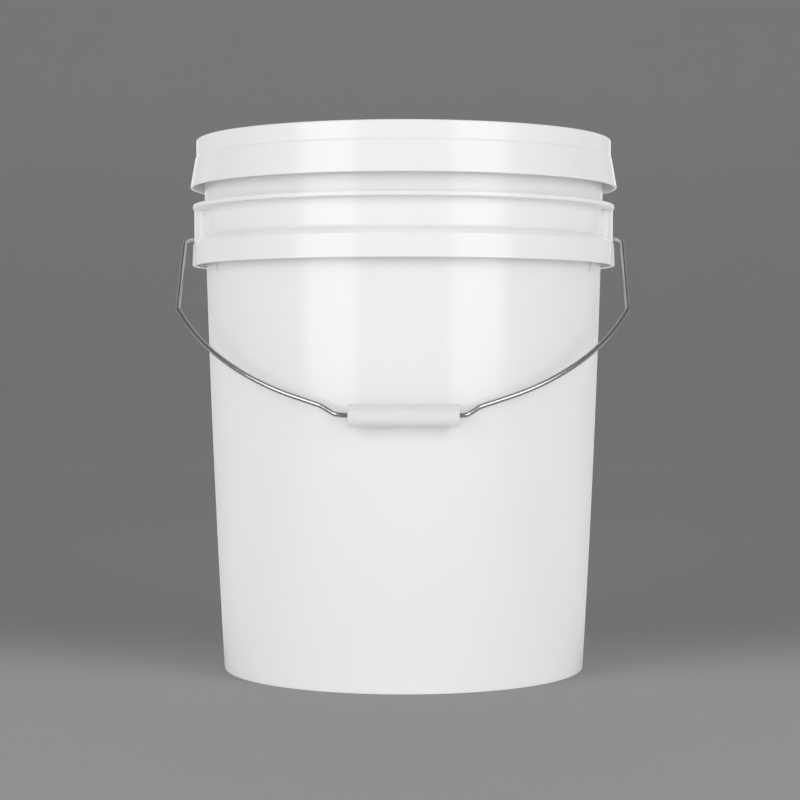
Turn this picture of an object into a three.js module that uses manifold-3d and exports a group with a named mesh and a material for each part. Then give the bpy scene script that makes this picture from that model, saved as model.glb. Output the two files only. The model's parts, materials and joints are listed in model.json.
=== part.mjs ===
// Round plastic pail with a push-on lid, a wire bail and a tube grip.
// Sizes are in millimetres. The base stands at z = 0, +Z is up and the front faces -Y.
import * as THREE from 'three';
import { mergeVertices } from 'three/addons/utils/BufferGeometryUtils.js';
import Module from 'manifold-3d';

const wasm = await Module();
wasm.setup();

// Side wall: radii are outside radii
const baseRadius = 131;
const neckRadius = 145;
const neckRise = 8.4;
const wallBulge = 1.5;
const wallThickness = 2.3;
const pailHeight = 376.5;

// Base: a foot ring round a raised floor
const footWidth = 5;
const baseRecess = 3;
const floorThickness = 2.8;
const baseEdge = 0.8;
const floorFillet = 6;

// Stiffening band: a skirt that hangs round the wall
const bandHeight = 15.7;
const bandReach = 8.1;
const bandDraft = 0.6;
const bandWall = 2.2;
const shoulderRise = 2.7;
const shoulderSlope = 2.6;
const shoulderWidth = 2.5;

// Flange between the lid's skirt and the band
const pryGap = 13;
const flangeGap = 20.5;
const flangeReach = 8.4;
const flangeThickness = 2.6;

// Snap bead at the rim
const beadReach = 3.4;
const beadHeight = 9;
const beadSlope = 2.5;
const rimEdge = 1;

// Ears that carry the bail, between band and flange
const earHalfWidth = 15;
const earFillet = 6;
const earSetback = 0.5;
const pivotRise = 4.5;
const pivotFloor = 1.4;
const padRaise = 0.7;
const padTopHalfWidth = 39;
const padBottomHalfWidth = 47;
const padTopDrop = 0.5;

// Ribs under the band on each side of an ear
const ribAngle = 24.5;
const ribThickness = 2;
const ribDrop = 7;

// Lid
const lidWall = 2;
const skirtHeight = 34.4;
const skirtFlare = 4.4;
const creaseDrop = 13;
const creaseStep = 0.5;
const lidEdge = 1.2;
const panelDrop = 11;
const panelThickness = 2.2;
const plugDepth = 20;
const gasketHeight = 4.9;
const gasketEdge = 1;

// Bail wire: distances from the pivot axis to the kink, the bow and the grip
const wireDiameter = 3.76;
const elbowRadius = 5;
const kinkDistance = 82;
const kinkInset = 2.2;
const kinkRadius = 8;
const bowDistance = 147.7;
const bowInset = 30.8;
const bowRadius = 180;
const gripDistance = 193.7;
const jogDepth = 9.7;
const jogWidth = 14;
const jogRadius = 8;
const jogClearance = 4.5;

// Grip
const gripLength = 74;
const gripDiameter = 14.2;
const collarRaise = 0.8;
const collarLength = 3.6;
const gripEdge = 0.8;

// Clearances between pieces
const seatGap = 0.3;
const plugGap = 0.35;
const skirtGap = 0.5;
const wireGap = 0.42;
const tipGap = 0.5;
const bailGap = 2.6;

// Facets
const roundSegments = 64;
const wallSteps = 5;
const gripSegments = 20;
const holeSegments = 16;
const wireSteps = 160;
const wireSideHalves = 4;

// Sizes that follow from the ones above
const wireRadius = wireDiameter / 2;
const holeRadius = wireRadius + wireGap;
const beadRadius = neckRadius + beadReach;
const lidInnerRadius = beadRadius + skirtGap;
const lidRadius = lidInnerRadius + lidWall;
const skirtRadius = lidRadius + skirtFlare;
const gasketBottom = pailHeight + seatGap;
const gasketTop = gasketBottom + gasketHeight;
const lidTop = gasketTop + seatGap + lidWall;
const skirtBottom = lidTop - skirtHeight;
const plugRadius = neckRadius - wallThickness - plugGap;
const flangeTop = skirtBottom - pryGap;
const flangeBottom = flangeTop - flangeThickness;
const flangeRadius = neckRadius + flangeReach;
const neckHeight = flangeTop + neckRise;
const pivotHeight = flangeBottom - flangeGap;
const bandTop = pivotHeight - pivotRise;
const bandBottom = bandTop - bandHeight;
const bandRadius = neckRadius + bandReach;
const earRadius = bandRadius - earSetback;
const gripRadius = gripDiameter / 2;
const legHalfSpan = skirtRadius + bailGap + wireRadius;

// Outside radius of the side wall at a height: a taper that bows out slightly
function wallRadius(height) {
  const share = Math.min(height / neckHeight, 1);
  const taper = baseRadius + (neckRadius - baseRadius) * share;
  return taper + 4 * wallBulge * share * (1 - share);
}

function wallPoints(fromHeight, toHeight, inset) {
  const points = [];
  for (let step = 0; step <= wallSteps; step += 1) {
    const height = THREE.MathUtils.lerp(fromHeight, toHeight, step / wallSteps);
    points.push([wallRadius(height) - inset, height]);
  }
  return points;
}

// Turns a closed outline of [radius, height] points round the Z axis
function turned(outline, segments = roundSegments) {
  const points = outline.map(([radius, height]) => new THREE.Vector2(radius, height));
  return new THREE.LatheGeometry(points, segments).rotateX(Math.PI / 2);
}

function closed(outline) {
  return [...outline, outline[0]];
}

function toSolid(geometry) {
  geometry.deleteAttribute('normal');
  geometry.deleteAttribute('uv');
  const merged = mergeVertices(geometry);
  const corners = merged.index.array;
  const triangles = [];
  for (let i = 0; i < corners.length; i += 3) {
    const [a, b, c] = corners.slice(i, i + 3);
    if (a !== b && b !== c && c !== a) triangles.push(a, b, c);
  }
  return new wasm.Manifold(new wasm.Mesh({
    numProp: 3,
    vertProperties: merged.attributes.position.array,
    triVerts: new Uint32Array(triangles),
  }));
}

function toGeometry(solid) {
  const mesh = solid.getMesh();
  const geometry = new THREE.BufferGeometry();
  geometry.setAttribute('position', new THREE.BufferAttribute(mesh.vertProperties, 3));
  geometry.setIndex(new THREE.BufferAttribute(mesh.triVerts, 1));
  geometry.computeVertexNormals();
  return geometry;
}

function named(name, geometry, material) {
  const mesh = new THREE.Mesh(geometry, material);
  mesh.name = name;
  return mesh;
}

// Pail body: floor, wall, band, flange and snap bead in one moulding
function shellOutline() {
  const footInner = baseRadius - footWidth;
  const floorTop = baseRecess + floorThickness;
  const filletTop = floorTop + floorFillet;
  const bandInner = bandRadius - bandWall;
  return [
    [0, baseRecess],
    [footInner, baseRecess],
    [footInner, 0],
    [baseRadius - baseEdge, 0],
    ...wallPoints(baseEdge, bandTop, 0),
    [bandInner - bandDraft, bandTop],
    [bandInner, bandBottom],
    [bandRadius, bandBottom],
    [bandRadius - bandDraft, bandTop],
    [bandRadius - bandDraft - shoulderWidth, bandTop + shoulderRise],
    [wallRadius(bandTop), bandTop + shoulderRise + shoulderSlope],
    [wallRadius(flangeBottom), flangeBottom],
    [flangeRadius, flangeBottom],
    [flangeRadius, flangeTop],
    [wallRadius(flangeTop), flangeTop],
    [neckRadius, neckHeight],
    [neckRadius, pailHeight - beadHeight],
    [beadRadius, pailHeight - beadHeight + beadSlope],
    [beadRadius, pailHeight - rimEdge],
    [beadRadius - rimEdge, pailHeight],
    [neckRadius - wallThickness, pailHeight],
    ...wallPoints(neckHeight, filletTop, wallThickness),
    [wallRadius(floorTop) - wallThickness - floorFillet, floorTop],
    [0, floorTop],
  ];
}

// One ear, on the +X side: a block with hollow fillets onto the wall
function earSolid() {
  const anchorRadius = wallRadius(bandTop) - wallThickness / 2;
  const footHalfWidth = earHalfWidth + earFillet;
  const footX = Math.sqrt(wallRadius(bandTop) ** 2 - footHalfWidth ** 2);
  const anchorAngle = Math.asin(footHalfWidth / anchorRadius);
  const faceAngle = Math.asin(earHalfWidth / earRadius);
  const shape = new THREE.Shape();
  shape.absarc(0, 0, earRadius, -faceAngle, faceAngle, false);
  shape.absarc(footX + earFillet, footHalfWidth, earFillet, -Math.PI / 2, -Math.PI, true);
  shape.absarc(0, 0, anchorRadius, anchorAngle, -anchorAngle, true);
  shape.absarc(footX + earFillet, -footHalfWidth, earFillet, Math.PI, Math.PI / 2, true);
  const bottom = bandTop + shoulderRise / 2;
  const depth = flangeBottom + flangeThickness / 2 - bottom;
  const block = new THREE.ExtrudeGeometry(shape, { depth, bevelEnabled: false, curveSegments: 3 });
  return toSolid(block.translate(0, 0, bottom));
}

// Blind hole for the end of the bail wire
function pivotHole() {
  const start = wallRadius(pivotHeight) + pivotFloor;
  const length = bandRadius + padRaise + seatGap - start;
  const hole = new THREE.CylinderGeometry(holeRadius, holeRadius, length, holeSegments);
  return toSolid(hole.rotateZ(Math.PI / 2).translate(start + length / 2, 0, pivotHeight));
}

// Raised pad on the band below an ear, wider at the bottom
function padSolid() {
  const padTop = bandTop - padTopDrop;
  const ring = turned(closed([
    [bandRadius - bandWall / 2, bandBottom],
    [bandRadius + padRaise, bandBottom],
    [bandRadius + padRaise - bandDraft, padTop],
    [bandRadius - bandDraft - bandWall / 2, padTop],
  ]));
  const outline = new THREE.Shape([
    new THREE.Vector2(-padBottomHalfWidth, bandBottom),
    new THREE.Vector2(padBottomHalfWidth, bandBottom),
    new THREE.Vector2(padTopHalfWidth, padTop),
    new THREE.Vector2(-padTopHalfWidth, padTop),
  ]);
  const window = new THREE.ExtrudeGeometry(outline, { depth: 2 * bandRadius, bevelEnabled: false });
  window.rotateX(Math.PI / 2).rotateZ(Math.PI / 2);
  return toSolid(ring).intersect(toSolid(window));
}

// Rib between wall and band, running out below the band
function ribSolid(angle) {
  const foot = bandBottom - ribDrop;
  const shape = new THREE.Shape([
    new THREE.Vector2(wallRadius(foot) - wallThickness / 2, foot),
    new THREE.Vector2(bandRadius - bandWall / 2, bandBottom + ribThickness),
    new THREE.Vector2(bandRadius - bandWall / 2 - bandDraft, bandTop + shoulderRise / 2),
    new THREE.Vector2(wallRadius(bandTop) - wallThickness / 2, bandTop + shoulderRise / 2),
  ]);
  const rib = new THREE.ExtrudeGeometry(shape, { depth: ribThickness, bevelEnabled: false });
  rib.translate(0, 0, -ribThickness / 2).rotateX(Math.PI / 2);
  return toSolid(rib.rotateZ(THREE.MathUtils.degToRad(angle)));
}

function makePailBody(material) {
  let solid = toSolid(turned(shellOutline()));
  for (const side of [0, 180]) {
    solid = solid.add(earSolid().rotate([0, 0, side]));
    solid = solid.add(padSolid().rotate([0, 0, side]));
    solid = solid.add(ribSolid(side + ribAngle));
    solid = solid.add(ribSolid(side - ribAngle));
    solid = solid.subtract(pivotHole().rotate([0, 0, side]));
  }
  return named('pail_body', toGeometry(solid), material);
}

// Lid: recessed panel, plug wall, channel over the rim and flared skirt
function makeLid(material) {
  const panelTop = lidTop - panelDrop;
  const plugInner = plugRadius - lidWall;
  const plugBottom = lidTop - plugDepth;
  const crease = lidTop - creaseDrop;
  const outline = [
    [0, panelTop - panelThickness],
    [plugInner, panelTop - panelThickness],
    [plugInner, plugBottom],
    [plugRadius, plugBottom],
    [plugRadius, lidTop - lidWall],
    [lidInnerRadius, lidTop - lidWall],
    [lidInnerRadius, crease],
    [lidInnerRadius + creaseStep, crease - lidWall],
    [skirtRadius - lidWall, skirtBottom],
    [skirtRadius, skirtBottom],
    [lidRadius + creaseStep, crease],
    [lidRadius, crease + creaseStep],
    [lidRadius, lidTop - lidEdge],
    [lidRadius - lidEdge, lidTop],
    [plugInner + lidEdge, lidTop],
    [plugInner, lidTop - lidEdge],
    [plugInner, panelTop],
    [0, panelTop],
  ];
  return named('lid', turned(outline), material);
}

// Gasket: a soft ring that fills the lid channel above the rim
function makeGasket(material) {
  const inner = plugRadius + seatGap;
  const outer = lidInnerRadius - seatGap;
  const outline = closed([
    [inner, gasketBottom],
    [outer - gasketEdge, gasketBottom],
    [outer, gasketBottom + gasketEdge],
    [outer, gasketTop - gasketEdge],
    [outer - gasketEdge, gasketTop],
    [inner, gasketTop],
  ]);
  return named('lid_gasket', turned(outline), material);
}

// Adds to a flat path the straight run up to a corner and the arc that rounds it
function addRoundedCorner(path, before, corner, after) {
  const backward = new THREE.Vector2(before.x - corner.x, before.y - corner.y).normalize();
  const forward = new THREE.Vector2(after.x - corner.x, after.y - corner.y).normalize();
  const clockwise = backward.cross(forward) > 0;
  const halfAngle = backward.angleTo(forward) / 2;
  const toCentre = backward.clone().add(forward).setLength(corner.radius / Math.sin(halfAngle));
  const centre = toCentre.add(corner);
  const start = backward.multiplyScalar(corner.radius / Math.tan(halfAngle)).add(corner);
  const end = forward.multiplyScalar(corner.radius / Math.tan(halfAngle)).add(corner);
  const startAngle = start.clone().sub(centre).angle();
  const endAngle = end.clone().sub(centre).angle();
  path.lineTo(start.x, start.y);
  path.absarc(centre.x, centre.y, corner.radius, startAngle, endAngle, clockwise);
}

// Centre line of the bail in its own plane: x across the pail, y away from the pivot
function bailPath() {
  const kinkHalfSpan = legHalfSpan - kinkInset;
  const jogHalfSpan = gripLength / 2 + jogClearance;
  const half = [
    { x: wallRadius(pivotHeight) + pivotFloor + tipGap, y: 0, radius: 0 },
    { x: legHalfSpan, y: 0, radius: elbowRadius },
    { x: kinkHalfSpan, y: kinkDistance, radius: kinkRadius },
    { x: kinkHalfSpan - bowInset, y: bowDistance, radius: bowRadius },
    { x: jogHalfSpan + jogWidth, y: gripDistance - jogDepth, radius: jogRadius },
    { x: jogHalfSpan, y: gripDistance, radius: jogRadius },
  ];
  const otherHalf = half.map((corner) => ({ ...corner, x: -corner.x })).reverse();
  const corners = [...half, ...otherHalf];
  const path = new THREE.Path();
  path.moveTo(corners[0].x, corners[0].y);
  for (let i = 1; i < corners.length - 1; i += 1) {
    addRoundedCorner(path, corners[i - 1], corners[i], corners[i + 1]);
  }
  path.lineTo(corners.at(-1).x, corners.at(-1).y);
  return path;
}

// The bail's flat path stood up in the XZ plane, hanging down from the pivot
class BailCurve extends THREE.Curve {
  constructor(path) {
    super();
    this.path = path;
    this.arcLengthDivisions = 4 * wireSteps;
  }

  getPoint(share, target = new THREE.Vector3()) {
    const point = this.path.getPoint(share);
    return target.set(point.x, 0, -point.y);
  }
}

function makeBailWire(material) {
  const section = new THREE.Shape().absarc(0, 0, wireRadius, 0, 2 * Math.PI, false);
  const geometry = new THREE.ExtrudeGeometry(section, {
    steps: wireSteps,
    curveSegments: wireSideHalves,
    bevelEnabled: false,
    extrudePath: new BailCurve(bailPath()),
  });
  return named('bail_wire', geometry, material);
}

// Grip: a tube with a collar at each end, turned round the straight part of the bail
function makeGrip(material) {
  const halfLength = gripLength / 2;
  const collarRadius = gripRadius + collarRaise;
  const outline = closed([
    [holeRadius, -halfLength],
    [collarRadius - gripEdge, -halfLength],
    [collarRadius, -halfLength + gripEdge],
    [collarRadius, -halfLength + collarLength],
    [gripRadius, -halfLength + collarLength + collarRaise],
    [gripRadius, halfLength - collarLength - collarRaise],
    [collarRadius, halfLength - collarLength],
    [collarRadius, halfLength - gripEdge],
    [collarRadius - gripEdge, halfLength],
    [holeRadius, halfLength],
  ]);
  const geometry = turned(outline, gripSegments).rotateY(Math.PI / 2);
  return named('grip', geometry, material);
}

// Angle from straight down at which the grip comes to lie against the wall
function restAngle() {
  let angle = 0;
  for (let pass = 0; pass < 8; pass += 1) {
    const gripHeight = pivotHeight - gripDistance * Math.cos(angle);
    const reach = wallRadius(gripHeight) + seatGap + gripRadius;
    angle = Math.asin(reach / gripDistance);
  }
  return angle;
}

const whitePlastic = { color: 0xededec, roughness: 0.32, metalness: 0 };
const bodyMaterial = new THREE.MeshStandardMaterial(whitePlastic);
const lidMaterial = new THREE.MeshStandardMaterial(whitePlastic);
const gripMaterial = new THREE.MeshStandardMaterial({ ...whitePlastic, roughness: 0.4 });
const gasketMaterial = new THREE.MeshStandardMaterial({ color: 0xd9d8d2, roughness: 0.8, metalness: 0 });
const wireMaterial = new THREE.MeshStandardMaterial({ color: 0xb9bbbc, roughness: 0.35, metalness: 1 });

const grip = makeGrip(gripMaterial);
grip.position.z = -gripDistance;

const bail = new THREE.Group();
bail.add(makeBailWire(wireMaterial), grip);
bail.position.z = pivotHeight;
bail.rotation.x = -restAngle();

const pail = new THREE.Group();
pail.add(makePailBody(bodyMaterial), makeLid(lidMaterial), makeGasket(gasketMaterial), bail);

export default pail;
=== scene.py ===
import json
import math

import bmesh
import bpy
from mathutils import Matrix, Vector

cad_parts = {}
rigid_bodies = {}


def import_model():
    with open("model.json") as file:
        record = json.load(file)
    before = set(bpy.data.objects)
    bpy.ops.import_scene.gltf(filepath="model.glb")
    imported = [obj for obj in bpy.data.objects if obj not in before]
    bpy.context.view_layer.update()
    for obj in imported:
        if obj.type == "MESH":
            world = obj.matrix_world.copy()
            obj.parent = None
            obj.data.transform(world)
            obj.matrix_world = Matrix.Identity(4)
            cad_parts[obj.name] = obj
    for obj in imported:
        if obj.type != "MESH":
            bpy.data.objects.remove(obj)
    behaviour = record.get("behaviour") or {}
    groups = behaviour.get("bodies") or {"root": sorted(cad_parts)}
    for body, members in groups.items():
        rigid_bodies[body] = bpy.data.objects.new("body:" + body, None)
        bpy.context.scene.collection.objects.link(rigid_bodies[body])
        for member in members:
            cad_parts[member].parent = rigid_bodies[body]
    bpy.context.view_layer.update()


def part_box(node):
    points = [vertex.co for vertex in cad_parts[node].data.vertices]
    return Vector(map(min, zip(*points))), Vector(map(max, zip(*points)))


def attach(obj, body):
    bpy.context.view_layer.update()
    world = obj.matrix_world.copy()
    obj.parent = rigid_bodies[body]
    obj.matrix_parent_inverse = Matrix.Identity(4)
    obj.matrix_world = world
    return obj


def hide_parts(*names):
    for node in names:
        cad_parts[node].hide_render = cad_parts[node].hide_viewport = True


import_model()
mm = 0.001


# Node graphs

class Signal:
    # One output socket, which can stand in a sum
    def __init__(self, graph, socket):
        self.graph = graph
        self.socket = socket

    def output(self, name):
        return Signal(self.graph, self.socket.node.outputs[name])

    def __add__(self, other):
        return self.graph.maths("ADD", self, other)

    def __radd__(self, other):
        return self.graph.maths("ADD", other, self)

    def __sub__(self, other):
        return self.graph.maths("SUBTRACT", self, other)

    def __rsub__(self, other):
        return self.graph.maths("SUBTRACT", other, self)

    def __mul__(self, other):
        return self.graph.maths("MULTIPLY", self, other)

    def __rmul__(self, other):
        return self.graph.maths("MULTIPLY", other, self)


class Graph:
    # A node tree that makes and wires its nodes one call at a time
    def __init__(self, tree):
        self.tree = tree

    def node(self, kind, settings=None, values=None, output=0):
        made = self.tree.nodes.new(kind)
        for name, value in (settings or {}).items():
            setattr(made, name, value)
        for key, value in (values or {}).items():
            if isinstance(value, Signal):
                self.tree.links.new(value.socket, made.inputs[key])
            else:
                made.inputs[key].default_value = value
        return Signal(self, made.outputs[output]) if made.outputs else None

    def maths(self, operation, *terms):
        return self.node("ShaderNodeMath", {"operation": operation}, dict(enumerate(terms)))

    def blend(self, factor, low, high):
        # Sockets 0, 6 and 7, and output 2, are the mix node's sockets for colours
        return self.node("ShaderNodeMix", {"data_type": "RGBA"}, {
            0: factor, 6: low, 7: high,
        }, output=2)

    def ramp(self, value, start, end):
        # 0 at the start, 1 at the end and smooth between them
        return self.node("ShaderNodeMapRange", {"interpolation_type": "SMOOTHSTEP"}, {
            "Value": value, "From Min": start, "From Max": end,
        })


def grey(level):
    return (level, level, level, 1)


# Materials

def newFinish(name):
    material = bpy.data.materials.new(name)
    material.use_nodes = True
    material.node_tree.nodes.clear()
    return material, Graph(material.node_tree)


def speckle(graph, place, scale, detail=2, roughness=0.5):
    return graph.node("ShaderNodeTexNoise", {}, {
        "Vector": place, "Scale": scale, "Detail": detail, "Roughness": roughness,
    })


def moulded(name, look):
    # Injection-moulded plastic: faint mottling, uneven gloss and a fine orange peel
    material, graph = newFinish(name)
    place = graph.node("ShaderNodeTexCoord", output="Object")
    cloud = speckle(graph, place, look["cloudScale"])
    grain = speckle(graph, place, look["grainScale"])
    wave = speckle(graph, place, look["waveScale"], detail=0)
    colour = graph.blend(cloud, look["shade"], look["tint"])
    gloss = look["roughness"] + look["glossSpread"] * (cloud - 0.5)
    gloss = gloss + look["glossGrain"] * (grain - 0.5)
    relief = look["peelDepth"] * grain + look["waveDepth"] * wave
    bump = graph.node("ShaderNodeBump", {}, {"Strength": 1, "Distance": mm, "Height": relief})
    shader = graph.node("ShaderNodeBsdfPrincipled", {}, {
        "Base Color": colour, "Roughness": gloss, "Normal": bump, "IOR": look["ior"],
    })
    graph.node("ShaderNodeOutputMaterial", {}, {"Surface": shader})
    return material


def drawnWire(name, look):
    # Zinc-coated wire: draw lines along its length and a fine crystal mottle
    material, graph = newFinish(name)
    place = graph.node("ShaderNodeTexCoord", output="Object")
    around = graph.node("ShaderNodeAttribute", {"attribute_name": "around"}, output="Fac")
    along = graph.node("ShaderNodeAttribute", {"attribute_name": "along"}, output="Fac")
    turn = around * (2 * math.pi)
    ring = graph.node("ShaderNodeCombineXYZ", {}, {
        0: graph.maths("COSINE", turn) * look["lineCount"],
        1: graph.maths("SINE", turn) * look["lineCount"],
        2: along * look["lineStretch"],
    })
    lines = speckle(graph, ring, 1, look["detail"], look["lineRoughness"])
    mottle = speckle(graph, place, look["mottleScale"], look["detail"])
    colour = graph.blend(mottle, look["dull"], look["bright"])
    gloss = look["roughness"] + look["glossSpread"] * (mottle - 0.5)
    gloss = gloss + look["lineGloss"] * (lines - 0.5)
    bump = graph.node("ShaderNodeBump", {}, {
        "Strength": 1, "Distance": mm, "Height": look["lineDepth"] * lines,
    })
    shader = graph.node("ShaderNodeBsdfPrincipled", {}, {
        "Base Color": colour, "Roughness": gloss, "Normal": bump, "Metallic": 1,
        "Specular Tint": grey(look["edgeTint"]),
    })
    graph.node("ShaderNodeOutputMaterial", {}, {"Surface": shader})
    return material


whiteLook = {
    "shade": grey(0.870), "tint": grey(0.890), "ior": 1.5,
    "roughness": 0.18, "glossSpread": 0.05, "glossGrain": 0.03,
    "cloudScale": 14, "grainScale": 950, "waveScale": 11,
    "peelDepth": 0.012, "waveDepth": 0.15,
}
gripLook = {
    **whiteLook, "shade": grey(0.790), "tint": grey(0.810),
    "roughness": 0.30, "grainScale": 1400, "peelDepth": 0.014, "waveDepth": 0,
}
gasketLook = {
    **whiteLook, "shade": (0.66, 0.65, 0.61, 1), "tint": (0.72, 0.71, 0.67, 1),
    "roughness": 0.78, "grainScale": 2200, "peelDepth": 0.06, "waveDepth": 0,
}
wireLook = {
    "dull": grey(0.62), "bright": grey(0.78), "roughness": 0.24, "edgeTint": 0.3,
    "glossSpread": 0.12, "lineGloss": 0.08, "lineDepth": 0.004,
    "lineCount": 5, "lineStretch": 25, "lineRoughness": 0.6, "mottleScale": 420, "detail": 3,
}

bodyPlastic = moulded("bodyPlastic", whiteLook)
lidPlastic = moulded("lidPlastic", whiteLook)
gripPlastic = moulded("gripPlastic", gripLook)
gasketRubber = moulded("gasketRubber", gasketLook)
bailSteel = drawnWire("bailSteel", wireLook)
print("materials ready")


# Outlines: a corner is (x, y, fillet radius), with a fourth value where it belongs to a zone

def rounded(corners, steps=5, support=0.4):
    # Rounds the corners of an open outline and adds a support point beside each fillet
    flat = [Vector(corner[:2]) for corner in corners]
    reach = [0.0] * len(corners)
    for i in range(1, len(corners) - 1):
        backward = (flat[i - 1] - flat[i]).normalized()
        forward = (flat[i + 1] - flat[i]).normalized()
        reach[i] = corners[i][2] / math.tan(backward.angle(forward) / 2)
    points = []
    for i, corner in enumerate(corners):
        zone = corner[3] if len(corner) > 3 else ""
        if corner[2] == 0:
            points.append((*flat[i], zone))
            continue
        backward = (flat[i - 1] - flat[i]).normalized()
        forward = (flat[i + 1] - flat[i]).normalized()
        before = (flat[i - 1] - flat[i]).length - reach[i] - reach[i - 1]
        after = (flat[i + 1] - flat[i]).length - reach[i] - reach[i + 1]
        start = flat[i] + backward * reach[i]
        end = flat[i] + forward * reach[i]
        middle = (backward + forward).normalized()
        centre = flat[i] + middle * math.hypot(corner[2], reach[i])
        if before > 3 * support:
            points.append((*(start + backward * support), zone))
        sweep = (start - centre).angle(end - centre)
        side = 1 if (start - centre).cross(end - centre) > 0 else -1
        count = max(2, math.ceil(steps * sweep / (math.pi / 2)))
        for step in range(count + 1):
            turn = side * sweep * step / count
            arm = start - centre
            points.append((
                centre.x + arm.x * math.cos(turn) - arm.y * math.sin(turn),
                centre.y + arm.x * math.sin(turn) + arm.y * math.cos(turn), zone,
            ))
        if after > 3 * support:
            points.append((*(end + forward * support), zone))
    return points


def divided(points, longest):
    # Splits the runs between points of one of the named zones into short steps
    finer = [points[0]]
    for first, second in zip(points, points[1:]):
        step = longest.get(first[2]) if first[2] == second[2] else None
        length = math.hypot(second[0] - first[0], second[1] - first[1])
        count = math.ceil(length / step) if step else 1
        for part in range(1, count + 1):
            share = part / count
            finer.append((
                first[0] + (second[0] - first[0]) * share,
                first[1] + (second[1] - first[1]) * share, second[2],
            ))
    return finer


# Meshes

sharpAngle = math.radians(38)
mergeDistance = 0.0005 * mm


def link(name, mesh):
    piece = bpy.data.objects.new(name, mesh)
    bpy.context.scene.collection.objects.link(piece)
    return piece


def shadeSmooth(mesh):
    mesh.shade_smooth()
    mesh.set_sharp_from_angle(angle=sharpAngle)


def tidy(mesh):
    # Merges doubles, turns the faces outwards and shades the mesh smooth up to an angle
    work = bmesh.new()
    work.from_mesh(mesh)
    bmesh.ops.remove_doubles(work, verts=work.verts, dist=mergeDistance)
    bmesh.ops.dissolve_degenerate(work, edges=work.edges, dist=mergeDistance)
    if work.calc_volume(signed=True) < 0:
        bmesh.ops.reverse_faces(work, faces=work.faces)
    work.to_mesh(mesh)
    work.free()
    shadeSmooth(mesh)


def chain(name, points, bends=None):
    # A mesh of one open line of points, with the bend radius at each where it has bends
    mesh = bpy.data.meshes.new(name)
    edges = [(i, i + 1) for i in range(len(points) - 1)]
    mesh.from_pydata([Vector(point) for point in points], edges, [])
    if bends:
        stored = mesh.attributes.new("bend", "FLOAT", "POINT")
        for i, bend in enumerate(bends):
            stored.data[i].value = bend
    return mesh


# Geometry Nodes trees

def newTree(name, inputs):
    # A tree with a geometry input and output, and one named input for each size or material
    tree = bpy.data.node_groups.new(name, "GeometryNodeTree")
    tree.interface.new_socket("Geometry", in_out="INPUT", socket_type="NodeSocketGeometry")
    for label, kind in inputs.items():
        tree.interface.new_socket(label, in_out="INPUT", socket_type="NodeSocket" + kind)
    tree.interface.new_socket("Geometry", in_out="OUTPUT", socket_type="NodeSocketGeometry")
    graph = Graph(tree)
    return tree, graph, graph.node("NodeGroupInput")


def closeTree(graph, shape, given):
    # Every tree ends in Realize Instances and Set Material
    real = graph.node("GeometryNodeRealizeInstances", {}, {"Geometry": shape})
    painted = graph.node("GeometryNodeSetMaterial", {}, {
        "Geometry": real, "Material": given.output("Finish"),
    })
    graph.node("NodeGroupOutput", {}, {"Geometry": painted})


def baked(name, seed, tree, sizes):
    # Runs a tree on a seed mesh and keeps the result as a plain mesh
    piece = link(name, seed)
    modifier = piece.modifiers.new("Shape", "NODES")
    modifier.node_group = tree
    for item in tree.interface.items_tree:
        if item.in_out == "INPUT" and item.name in sizes:
            modifier[item.identifier] = sizes[item.name]
    depsgraph = bpy.context.evaluated_depsgraph_get()
    mesh = bpy.data.meshes.new_from_object(piece.evaluated_get(depsgraph), depsgraph=depsgraph)
    piece.modifiers.remove(modifier)
    piece.data = mesh
    mesh.name = name
    tidy(mesh)
    return piece


def turnedTree():
    # Sweeps an outline round the Z axis. The circle has radius 1 m, so x is stored as radius - 1
    tree, graph, given = newTree("turnedShell", {"Segments": "Int", "Finish": "Material"})
    outline = graph.node("GeometryNodeMeshToCurve", {}, {"Mesh": given})
    circle = graph.node("GeometryNodeCurvePrimitiveCircle", {}, {
        "Resolution": given.output("Segments"), "Radius": 1.0,
    })
    shell = graph.node("GeometryNodeCurveToMesh", {}, {"Curve": circle, "Profile Curve": outline})
    closeTree(graph, shell, given)
    return tree


def wireTree():
    # Rounds the corners of a path and sweeps a round section along it
    tree, graph, given = newTree("roundWire", {
        "Wire Radius": "Float", "Sides": "Int", "Bend Steps": "Int", "Finish": "Material",
    })
    path = graph.node("GeometryNodeMeshToCurve", {}, {"Mesh": given})
    bend = graph.node("GeometryNodeInputNamedAttribute", {"data_type": "FLOAT"}, {"Name": "bend"})
    smooth = graph.node("GeometryNodeFilletCurve", {"mode": "POLY"}, {
        "Curve": path, "Count": given.output("Bend Steps"), "Radius": bend,
    })
    parameter = graph.node("GeometryNodeSplineParameter")
    measured = graph.node("GeometryNodeStoreNamedAttribute", {"data_type": "FLOAT"}, {
        "Geometry": smooth, "Name": "along", "Value": parameter.output("Length"),
    })
    circle = graph.node("GeometryNodeCurvePrimitiveCircle", {}, {
        "Resolution": given.output("Sides"), "Radius": given.output("Wire Radius"),
    })
    section = graph.node("GeometryNodeStoreNamedAttribute", {"data_type": "FLOAT"}, {
        "Geometry": circle, "Name": "around", "Value": parameter,
    })
    tube = graph.node("GeometryNodeCurveToMesh", {}, {
        "Curve": measured, "Profile Curve": section, "Fill Caps": True,
    })
    closeTree(graph, tube, given)
    return tree


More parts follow.
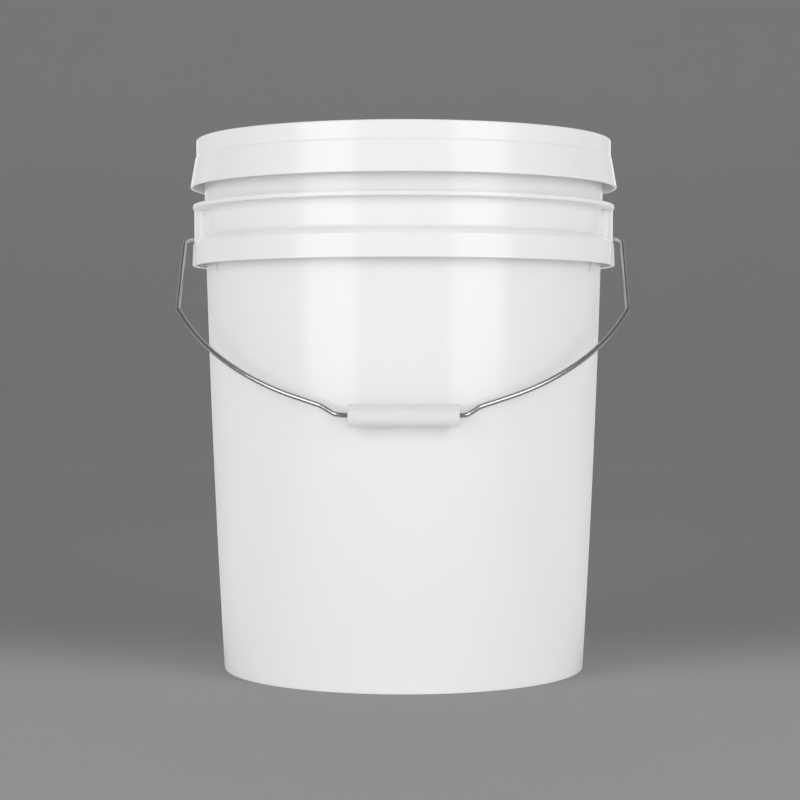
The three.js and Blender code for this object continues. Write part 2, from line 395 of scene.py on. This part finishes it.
def ribTree():
    # Sets a rib on each side of both ears: pairs of points, the second pair half a turn on
    tree, graph, given = newTree("earRibs", {
        "Count": "Int", "Rib Angle": "Float", "Finish": "Material",
    })
    points = graph.node("GeometryNodePoints", {}, {"Count": given.output("Count")})
    index = graph.node("GeometryNodeInputIndex")
    ear = graph.maths("FLOOR", index * 0.5)
    side = (index - 2 * ear) * 2 - 1
    angle = ear * math.pi + side * given.output("Rib Angle")
    turn = graph.node("ShaderNodeCombineXYZ", {}, {"Z": angle})
    placed = graph.node("GeometryNodeInstanceOnPoints", {}, {
        "Points": points, "Instance": given, "Rotation": turn,
    })
    closeTree(graph, placed, given)
    return tree


turned = turnedTree()


def turnedPiece(name, corners, finish, segments, steps=5):
    outline = rounded(corners, steps)
    seed = chain(name, [(x * mm - 1, -z * mm, 0) for x, z, zone in outline])
    return baked(name, seed, turned, {"Segments": segments, "Finish": finish})


# Pail body

pail = {
    "baseRadius": 131, "neckRadius": 145, "neckHeight": 345, "bulge": 1.5, "wall": 2.3,
    "height": 376.5, "footWidth": 5, "recess": 3, "floorTop": 5.8, "floorFillet": 6,
    "bandTop": 309, "bandBottom": 292.9, "bandRadius": 153.1, "bandDraft": 0.6, "bandWall": 2.2,
    "flangeBottom": 333.6, "flangeTop": 336.6, "flangeRadius": 153.4,
    "beadRadius": 148.4, "beadBottom": 367.5, "beadFull": 370,
    "earRadius": 152.5, "earHalfWidth": 15, "earFillet": 6, "earCorner": 1.3, "earBlend": 1.0,
    "padRaise": 0.7, "padTopHalf": 39, "padBottomHalf": 47, "padTop": 308.5, "padEdge": 0.35,
    "shoulderRun": 2.5, "shoulderRise": 2.7, "shoulderTop": 5.3, "earStart": 322,
    "pivotHeight": 313.5, "holeRadius": 2.3, "holeStart": 145.62, "holeSides": 32, "drillPast": 3,
    # radius, rise from the recess, fillet
    "baseMarks": [
        (0, -0.7, 0), (3.4, -0.7, 0.4), (4.2, 0, 0.4),
        (61, 0, 0.3), (61.6, -0.4, 0.2), (63.4, -0.4, 0.2), (64, 0, 0.3),
    ],
    # from height, to height, number of steps
    "outerRun": (10, 288, 20), "innerRun": (340, 14, 16),
    # Rows: the longest step up the outline in each zone
    "rowSteps": {"shoulder": 0.5, "ear": 3, "band": 2.5},
    # Columns: places across the ear's face, steps over the pad's edge, counts before and beyond
    "earFace": (0, 1.5, 3, 4.5, 6.5, 8.5, 10.5, 12.2), "earFoot": 0.6,
    "padSteps": (-1.8, -1, -0.6, -0.2, 0.2, 0.6, 1, 1.8), "footSteps": 4, "openColumns": 46,
    # Where the pad fades out, above its top and inwards under the band
    "padOver": 0.2, "padTopFade": 0.4, "padDepth": 1.2, "padDepthFade": 0.6,
    # How far below the band's top the ear starts
    "earUnder": 0.3,
}


def wallRadius(height):
    # The wall's outside: a straight taper with a slight bulge
    share = min(height / pail["neckHeight"], 1)
    taper = pail["baseRadius"] + (pail["neckRadius"] - pail["baseRadius"]) * share
    return taper + 4 * pail["bulge"] * share * (1 - share)


def wallRun(fromHeight, toHeight, count, inset=0):
    heights = [fromHeight + (toHeight - fromHeight) * i / count for i in range(count + 1)]
    return [(wallRadius(height) - inset, height, 0) for height in heights]


def bodyOutline():
    # (radius, height, fillet) from the middle of the underside round the rim to the floor's middle
    foot = pail["baseRadius"] - pail["footWidth"]
    inner = pail["bandRadius"] - pail["bandWall"]
    upper = pail["bandRadius"] - pail["bandDraft"]
    marks = [(radius, pail["recess"] + rise, fillet) for radius, rise, fillet in pail["baseMarks"]]
    return [
        *marks,
        (foot, pail["recess"], 1.2), (foot, 0, 1.0), (pail["baseRadius"], 0, 0.8),
        *wallRun(*pail["outerRun"]),
        (wallRadius(pail["bandTop"]), pail["bandTop"], 1.2),
        (inner - pail["bandDraft"], pail["bandTop"], 1.2),
        (inner, pail["bandBottom"], 0.6),
        (pail["bandRadius"], pail["bandBottom"], 0.4, "band"),
        (upper, pail["bandTop"], 0.9, "band"),
        (upper - pail["shoulderRun"], pail["bandTop"] + pail["shoulderRise"], 1.4, "shoulder"),
        (wallRadius(pail["bandTop"]), pail["bandTop"] + pail["shoulderTop"], 1.6, "shoulder"),
        (wallRadius(pail["earStart"]), pail["earStart"], 0, "ear"),
        (wallRadius(pail["flangeBottom"]), pail["flangeBottom"], 1.0, "ear"),
        (pail["flangeRadius"], pail["flangeBottom"], 0.6, "ear"),
        (pail["flangeRadius"], pail["flangeTop"], 0.7),
        (wallRadius(pail["flangeTop"]), pail["flangeTop"], 0.8),
        (pail["neckRadius"], pail["neckHeight"], 3),
        (pail["neckRadius"], pail["beadBottom"], 0.8),
        (pail["beadRadius"], pail["beadFull"], 1.0),
        (pail["beadRadius"], pail["height"], 1.2),
        (pail["neckRadius"] - pail["wall"], pail["height"], 0.8),
        *wallRun(*pail["innerRun"], pail["wall"]),
        (wallRadius(pail["floorTop"]) - pail["wall"], pail["floorTop"], pail["floorFillet"]),
        (0, pail["floorTop"], 0),
    ]


def earColumns():
    # Half of the ear's outline in plan, from the middle of its face to the wall: (angle, radius)
    half = pail["earHalfWidth"]
    radius = pail["earRadius"]
    foot = wallRadius(pail["bandTop"])
    footHalf = half + pail["earFillet"]
    footX = math.sqrt(foot ** 2 - footHalf ** 2)
    faceX = math.sqrt(radius ** 2 - half ** 2)
    face = [(math.sqrt(radius ** 2 - y ** 2), y, 0) for y in pail["earFace"]]
    plan = rounded([
        *face, (faceX, half, pail["earCorner"]),
        (footX, half, pail["earFillet"]), (footX, footHalf + pail["earFoot"], 0),
    ], steps=8, support=0.5)
    return [(math.atan2(y, x), math.hypot(x, y)) for x, y, zone in plan]


def limited(share):
    return min(max(share, 0), 1)


def padEdgeAngle(height):
    # The pad under an ear widens downwards, so its edge slants
    span = pail["padTop"] - pail["bandBottom"]
    share = limited((height - pail["bandBottom"]) / span)
    half = pail["padBottomHalf"] + (pail["padTopHalf"] - pail["padBottomHalf"]) * share
    return math.asin(half / pail["bandRadius"])


def softMax(first, second, blend):
    # The larger of two radii, with a fillet where they are within the blend of each other
    overlap = max(blend - abs(first - second), 0)
    return max(first, second) + (overlap ** 2 / (4 * blend) if blend else 0)


def quarterRow(radius, height, zone, ear):
    # One row of points over a quarter turn from the middle of an ear: (angle, radius)
    edge = padEdgeAngle(height)
    nearTop = height > pail["bandTop"] - pail["earUnder"]
    onEar = zone in ("shoulder", "ear") or (zone == "band" and nearTop)
    faceEnd = ear[len(pail["earFace"])][0]
    points = []
    for angle, reach in ear:
        blend = pail["earBlend"] if angle > faceEnd else 0
        points.append((angle, softMax(radius, reach, blend) if onEar else radius))
    last = ear[-1][0]
    edges = [edge + step * pail["padEdge"] / pail["bandRadius"] for step in pail["padSteps"]]
    foot = (edges[0] - last) / (pail["footSteps"] + 1)
    points += [(last + foot * i, radius) for i in range(1, pail["footSteps"] + 1)]
    points += [(angle, radius) for angle in edges]
    clear = (math.pi / 2 - edges[-1]) / pail["openColumns"]
    points += [(edges[-1] + clear * i, radius) for i in range(1, pail["openColumns"] + 1)]
    if zone != "band":
        return points
    fade = limited((pail["padTop"] + pail["padOver"] - height) / pail["padTopFade"])
    fade *= limited((radius - pail["bandRadius"] + pail["padDepth"]) / pail["padDepthFade"])
    raised = []
    for angle, reach in points:
        share = limited((edge - angle) * pail["bandRadius"] / pail["padEdge"] + 0.5)
        raised.append((angle, reach + pail["padRaise"] * fade * share * share * (3 - 2 * share)))
    return raised


def bodyMesh():
    outline = divided(rounded(bodyOutline()), pail["rowSteps"])
    ear = earColumns()
    vertices = []
    for radius, height, zone in outline:
        quarter = quarterRow(radius, height, zone, ear)
        half = [(-angle, reach) for angle, reach in reversed(quarter[1:-1])] + quarter
        ring = [(-math.pi / 2, quarter[-1][1]), *half]
        ring += [(angle + math.pi, reach) for angle, reach in half[:-1]]
        for angle, reach in ring:
            x, y = reach * math.cos(angle), reach * math.sin(angle)
            vertices.append((x * mm, y * mm, height * mm))
    columns = len(vertices) // len(outline)
    faces = []
    for row in range(len(outline) - 1):
        for column in range(columns):
            following = (column + 1) % columns
            faces.append((
                row * columns + column, row * columns + following,
                (row + 1) * columns + following, (row + 1) * columns + column,
            ))
    mesh = bpy.data.meshes.new("pailBody")
    mesh.from_pydata(vertices, [], faces)
    tidy(mesh)
    return mesh


def pivotDrills():
    # Two plugs in the shape of the blind holes for the ends of the bail
    work = bmesh.new()
    length = pail["bandRadius"] + pail["drillPast"] - pail["holeStart"]
    turn = Matrix.Rotation(math.pi / 2, 4, "Y")
    for side in (1, -1):
        centre = Vector((side * (pail["holeStart"] + length / 2), 0, pail["pivotHeight"])) * mm
        bmesh.ops.create_cone(
            work, cap_ends=True, segments=pail["holeSides"], depth=length * mm,
            radius1=pail["holeRadius"] * mm, radius2=pail["holeRadius"] * mm,
            matrix=Matrix.Translation(centre) @ turn,
        )
    mesh = bpy.data.meshes.new("pivotDrills")
    work.to_mesh(mesh)
    work.free()
    return link("pivotDrills", mesh)


def makePailBody():
    piece = link("pailBodyShell", bodyMesh())
    piece.data.materials.append(bodyPlastic)
    drills = pivotDrills()
    cut = piece.modifiers.new("Pivot holes", "BOOLEAN")
    cut.operation = "DIFFERENCE"
    cut.solver = "EXACT"
    cut.object = drills
    depsgraph = bpy.context.evaluated_depsgraph_get()
    mesh = bpy.data.meshes.new_from_object(piece.evaluated_get(depsgraph), depsgraph=depsgraph)
    piece.modifiers.remove(cut)
    piece.data = mesh
    bpy.data.objects.remove(drills)
    shadeSmooth(mesh)
    return piece


pailShell = makePailBody()
print("pail body:", len(pailShell.data.polygons), "faces")


# Ribs under the band

ribs = {
    "angle": 24.5, "thickness": 1.6, "drop": 6.5, "fin": 1.0, "edge": 0.4, "count": 4,
    "toe": 1.2, "heel": 0.4, "footSink": 0.6, "topSink": 0.8, "topRise": 0.6,
    "throat": 1.5, "shoulder": 4, "shoulderSlope": 0.5,
}


def ribMesh():
    # A thin plate that fills the band's hollow and runs down the wall below it
    foot = pail["bandBottom"] - ribs["drop"]
    top = pail["bandTop"] + ribs["topRise"]
    outer = pail["bandRadius"] - pail["bandWall"] / 2
    fin = wallRadius(pail["bandBottom"]) + ribs["fin"]
    half = ribs["thickness"] / 2
    corners = [
        (wallRadius(foot) - ribs["footSink"], foot - ribs["toe"]),
        (fin, foot + ribs["heel"]), (fin, pail["bandBottom"] + ribs["throat"]),
        (outer, pail["bandBottom"] + ribs["shoulder"]), (outer - ribs["shoulderSlope"], top),
        (wallRadius(pail["bandTop"]) - ribs["topSink"], top),
    ]
    work = bmesh.new()
    near = [work.verts.new((x * mm, -half * mm, z * mm)) for x, z in corners]
    far = [work.verts.new((x * mm, half * mm, z * mm)) for x, z in corners]
    work.faces.new(near)
    work.faces.new(list(reversed(far)))
    for i in range(len(corners)):
        j = (i + 1) % len(corners)
        work.faces.new((near[j], near[i], far[i], far[j]))
    bmesh.ops.bevel(
        work, geom=work.edges[:], offset=ribs["edge"] * mm,
        segments=3, affect="EDGES", profile=0.5,
    )
    mesh = bpy.data.meshes.new("ribSeed")
    work.to_mesh(mesh)
    work.free()
    return mesh


bandRibs = baked("bandRibs", ribMesh(), ribTree(), {
    "Count": ribs["count"], "Rib Angle": math.radians(ribs["angle"]), "Finish": bodyPlastic,
})


# Lid

lid = {
    "top": 383.6, "radius": 150.9, "inner": 148.9, "wall": 2, "edge": 1.2,
    "crease": 370.6, "creaseStep": 0.5, "creaseRun": 0.1, "creaseRise": 0.7,
    "skirtBottom": 349.0, "skirtRadius": 155.3, "skirtRun": 2.0, "skirtDrop": 1.5,
    "hookRadius": 146.3, "hookTop": 366.8, "hookBottom": 362.5, "hookSlope": 0.6, "hookNose": 1.6,
    "plugOuter": 142.35, "plugInner": 140.35, "plugBottom": 364,
    "panelTop": 373, "panelThickness": 2.2, "segments": 200,
    # radius, depth below the panel's top, fillet
    "panelSteps": [
        (128, 0, 1.5), (126.5, 0.9, 1.5), (96, 0.9, 1.2), (95.1, 0.4, 0.8),
        (92.9, 0.4, 0.8), (92, 0.9, 1.2), (43, 0.9, 1.2), (42, 0, 1.2),
        (5.5, 0, 0.4), (4.8, 0.5, 0.4), (2.2, 0.5, 0.3), (1.8, 0, 0.3),
    ],
}


def lidOutline():
    # (radius, height, fillet) from the middle of the panel's underside round the skirt to its top
    under = lid["panelTop"] - lid["panelThickness"]
    top = lid["panelTop"]
    lip = lid["top"] - lid["wall"]
    crease = lid["crease"]
    panel = [(radius, top - depth, fillet) for radius, depth, fillet in lid["panelSteps"]]
    return [
        (0, under, 0), (lid["plugInner"], under, 0.8), (lid["plugInner"], lid["plugBottom"], 0.7),
        (lid["plugOuter"], lid["plugBottom"], 0.7), (lid["plugOuter"], lip, 0.6),
        (lid["inner"], lip, 0.6), (lid["inner"], crease, 0.6),
        (lid["inner"] + lid["creaseStep"], crease - lid["wall"], 0.3),
        (lid["inner"] + lid["hookSlope"], lid["hookTop"] + lid["hookSlope"], 0.3),
        (lid["hookRadius"], lid["hookTop"], 0.7),
        (lid["hookRadius"] + lid["hookSlope"], lid["hookBottom"] + lid["hookNose"], 0.8),
        (lid["inner"] + lid["skirtRun"], lid["hookBottom"] - lid["skirtDrop"], 1.2),
        (lid["skirtRadius"] - lid["wall"], lid["skirtBottom"], 0.5),
        (lid["skirtRadius"], lid["skirtBottom"], 0.6),
        (lid["radius"] + lid["creaseStep"] + lid["creaseRun"], crease, 0.9),
        (lid["radius"], crease + lid["creaseRise"], 1.2),
        (lid["radius"], lid["top"], lid["edge"]),
        (lid["plugInner"], lid["top"], 1.4), (lid["plugInner"], top, 2.2),
        *panel, (0, top, 0),
    ]


lidShell = turnedPiece("lidShell", lidOutline(), lidPlastic, lid["segments"])
print("lid:", len(lidShell.data.polygons), "faces")


# Gasket in the lid's channel

gasket = {
    "inner": 142.65, "outer": 148.6, "bottom": 376.8, "top": 381.7,
    "edge": 1.2, "innerEdge": 0.5, "segments": 160,
}


def gasketOutline():
    inner, outer = gasket["inner"], gasket["outer"]
    bottom, top = gasket["bottom"], gasket["top"]
    seam = (inner, (bottom + top) / 2, 0)
    return [
        seam, (inner, bottom, gasket["innerEdge"]), (outer, bottom, gasket["edge"]),
        (outer, top, gasket["edge"]), (inner, top, gasket["innerEdge"]), seam,
    ]


gasketRing = turnedPiece("gasketRing", gasketOutline(), gasketRubber, gasket["segments"])


# Bail wire

bail = {
    "wireRadius": 1.74, "sides": 28, "bendSteps": 26,
    # Corners in the bail's own plane: span from the middle, distance from the pivot, bend radius
    "right": [
        (146.12, 0, 0), (159.56, 0, 6.8), (157.36, 82, 8), (126.6, 147.7, 180),
        (50.5, 184.8, 8), (41.5, 193.2, 8),
    ],
    "left": [
        (146.12, 0, 0), (151.6, 0, 5), (159.7, 2.4, 6), (158.5, 82, 8), (126.6, 147.7, 180),
        (55.5, 183.3, 8), (45.5, 192, 8), (39, 193.2, 30),
    ],
}

gripLow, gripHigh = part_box("grip")
gripCentre = (gripLow + gripHigh) / 2
pivot = Vector((0, 0, pail["pivotHeight"] * mm))
hang = (gripCentre - pivot).normalized()


def makeBailWire():
    # The span is mirrored for the left side, and the two sides meet inside the grip
    left = [(-span, drop, bend) for span, drop, bend in reversed(bail["left"])]
    corners = bail["right"] + left
    points = [
        pivot + Vector((span * mm, 0, 0)) + hang * drop * mm for span, drop, bend in corners
    ]
    seed = chain("bailWire", points, [bend * mm for span, drop, bend in corners])
    return baked("bailWireRound", seed, wireTree(), {
        "Wire Radius": bail["wireRadius"] * mm, "Sides": bail["sides"],
        "Bend Steps": bail["bendSteps"], "Finish": bailSteel,
    })


bailWire = makeBailWire()
print("bail wire:", len(bailWire.data.polygons), "faces")


# Grip on the straight part of the bail

grip = {
    "length": 74, "radius": 7.1, "bore": 2.3, "collarRaise": 0.75, "collarLength": 3.6,
    "collarRun": 0.9, "edge": 0.9, "boreEdge": 0.5, "segments": 72,
}


def makeGrip():
    half = grip["length"] / 2
    tube = grip["radius"]
    collar = tube + grip["collarRaise"]
    neck = half - grip["collarLength"]
    right = [
        (tube, neck - grip["collarRun"], 1.2), (collar, neck, 0.8),
        (collar, half, grip["edge"]), (grip["bore"], half, grip["boreEdge"]),
    ]
    left = [(x, -z, fillet) for x, z, fillet in reversed(right)]
    seam = (grip["bore"], 0, 0)
    corners = [seam, *left, *right, seam]
    piece = turnedPiece("gripTube", corners, gripPlastic, grip["segments"])
    piece.data.transform(Matrix.Translation(gripCentre) @ Matrix.Rotation(math.pi / 2, 4, "Y"))
    return piece


gripTube = makeGrip()
print("grip:", len(gripTube.data.polygons), "faces")


# What each piece moves with, and the node it is shown for. The ribs only add to the pail body

for piece, body, node, slot in (
    (pailShell, "pail", "pail_body", "body_plastic"),
    (bandRibs, "pail", None, "body_plastic"),
    (lidShell, "lid", "lid", "lid_plastic"),
    (gasketRing, "lid", "lid_gasket", "gasket_rubber"),
    (bailWire, "bail", "bail_wire", "bail_steel"),
    (gripTube, "grip", "grip", "grip_plastic"),
):
    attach(piece, body)
    if node:
        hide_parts(node)


# Studio: floor and backdrop, light, camera

studio = {
    # near, far and wall are paper greys with painted shade, darker away from the camera in place
    # of the light falling off; bounce is the pale paper colour that indirect light sees
    "near": 0.35, "far": 0.27, "wall": 0.307, "bounce": 0.97,
    "fadeStart": -0.12, "fadeEnd": 0.24, "wallStart": 0.0, "wallEnd": 0.9,
    "halfWidth": 5, "front": -5, "bendStart": 2.6, "bendRadius": 0.9, "height": 4, "bendSteps": 16,
    "paperRoughness": 0.5, "horizonFill": 0.93, "zenithFill": 0.38, "background": 0.42,
    "darkStart": -0.1, "darkEnd": 0.7, "darkShare": 0.33,
}
softboxes = {
    # name: azimuth from the front, distance, width, bottom, height, watts
    "leftSoftbox": (-40.6, 1.6, 0.86, 0.04, 1.3, 7.5),
    "rightSoftbox": (41.0, 1.6, 0.86, 0.04, 1.3, 7.5),
    "backPanel": (180, 3.42, 3, 0.6, 2.4, 8.9),
}


def seenDirectly(graph, glossy=1):
    # 1 for rays from the camera or through something clear, and a share for mirrored rays
    path = graph.node("ShaderNodeLightPath")
    mirrored = path.output("Is Glossy Ray") * glossy
    sent = graph.maths("MAXIMUM", path.output("Is Camera Ray"), path.output("Is Transmission Ray"))
    return graph.maths("MAXIMUM", sent, mirrored)


def floorFinish():
    # Grey paper with painted shade: its grey darkens away from the camera and changes up the wall,
    # standing in for how the light falls off, and it lights the pail as pale paper would
    material, graph = newFinish("studioPaper")
    place = graph.node("ShaderNodeTexCoord", output="Object")
    parts = graph.node("ShaderNodeSeparateXYZ", {}, {0: place})
    away = graph.ramp(parts.output("Y"), studio["fadeStart"], studio["fadeEnd"])
    up = graph.ramp(parts.output("Z"), studio["wallStart"], studio["wallEnd"])
    # Painted shade: the floor is coloured darker away from the camera, and the wall has a grey of
    # its own, in place of the light falling off
    ground = graph.blend(away, grey(studio["near"]), grey(studio["far"]))
    shown = graph.blend(up, ground, grey(studio["wall"]))
    colour = graph.blend(seenDirectly(graph, 1 - away), grey(studio["bounce"]), shown)
    shader = graph.node("ShaderNodeBsdfDiffuse", {}, {
        "Color": colour, "Roughness": studio["paperRoughness"],
    })
    graph.node("ShaderNodeOutputMaterial", {}, {"Surface": shader})
    return material


def makeFloor():
    # Floor and wall in one sheet, with a wide bend between them
    run = [(studio["front"], 0), (studio["bendStart"], 0)]
    for step in range(1, studio["bendSteps"] + 1):
        turn = math.pi / 2 * step / studio["bendSteps"]
        run.append((
            studio["bendStart"] + studio["bendRadius"] * math.sin(turn),
            studio["bendRadius"] * (1 - math.cos(turn)),
        ))
    run.append((run[-1][0], studio["height"]))
    vertices = [(side * studio["halfWidth"], y, z) for y, z in run for side in (-1, 1)]
    faces = [(2 * i, 2 * i + 1, 2 * i + 3, 2 * i + 2) for i in range(len(run) - 1)]
    mesh = bpy.data.meshes.new("paperSweep")
    mesh.from_pydata(vertices, [], faces)
    mesh.shade_smooth()
    mesh.materials.append(floorFinish())
    link("paperSweep", mesh)


def addSoftbox(name, azimuth, distance, width, bottom, height, watts):
    lamp = bpy.data.lights.new(name, "AREA")
    lamp.shape = "RECTANGLE"
    lamp.size = width
    lamp.size_y = height
    lamp.energy = watts
    holder = bpy.data.objects.new(name, lamp)
    turn = math.radians(azimuth)
    holder.location = (
        distance * math.sin(turn), -distance * math.cos(turn), bottom + height / 2,
    )
    holder.rotation_euler = (math.pi / 2, 0, turn)
    holder.visible_camera = False
    bpy.context.scene.collection.objects.link(holder)


def addWorld():
    world = bpy.data.worlds.new("studioWorld")
    world.use_nodes = True
    world.node_tree.nodes.clear()
    graph = Graph(world.node_tree)
    towards = graph.node("ShaderNodeSeparateXYZ", {}, {
        0: graph.node("ShaderNodeTexCoord", output="Generated"),
    })
    height = towards.output("Z")
    low = 1 - graph.maths("MAXIMUM", height, 0)
    span = studio["horizonFill"] - studio["zenithFill"]
    fill = studio["zenithFill"] + span * (low * low)
    direct = seenDirectly(graph)
    # What shiny surfaces mirror from in front and above is a dim room
    room = graph.ramp(towards.output("Y") - height, studio["darkEnd"], studio["darkStart"])
    mirrored = graph.node("ShaderNodeLightPath").output("Is Glossy Ray")
    shown = studio["background"] * (1 - (1 - studio["darkShare"]) * room * mirrored)
    level = fill * (1 - direct) + shown * direct
    sky = graph.node("ShaderNodeBackground", {}, {"Color": grey(1), "Strength": level})
    graph.node("ShaderNodeOutputWorld", {}, {"Surface": sky})
    bpy.context.scene.world = world


view = {"place": (0, -1.5, 0.2275), "tilt": 88.77, "turn": 0.1, "lens": 92.0, "sensor": 36.0}


def addCamera():
    data = bpy.data.cameras.new("camera")
    data.lens = view["lens"]
    data.sensor_width = view["sensor"]
    camera = bpy.data.objects.new("camera", data)
    camera.location = view["place"]
    camera.rotation_euler = (math.radians(view["tilt"]), 0, math.radians(view["turn"]))
    bpy.context.scene.collection.objects.link(camera)
    bpy.context.scene.camera = camera


makeFloor()
for name, settings in softboxes.items():
    addSoftbox(name, *settings)
addWorld()
addCamera()
bpy.context.scene.view_settings.view_transform = "Standard"
print("studio ready")

bpy.context.view_layer.update()
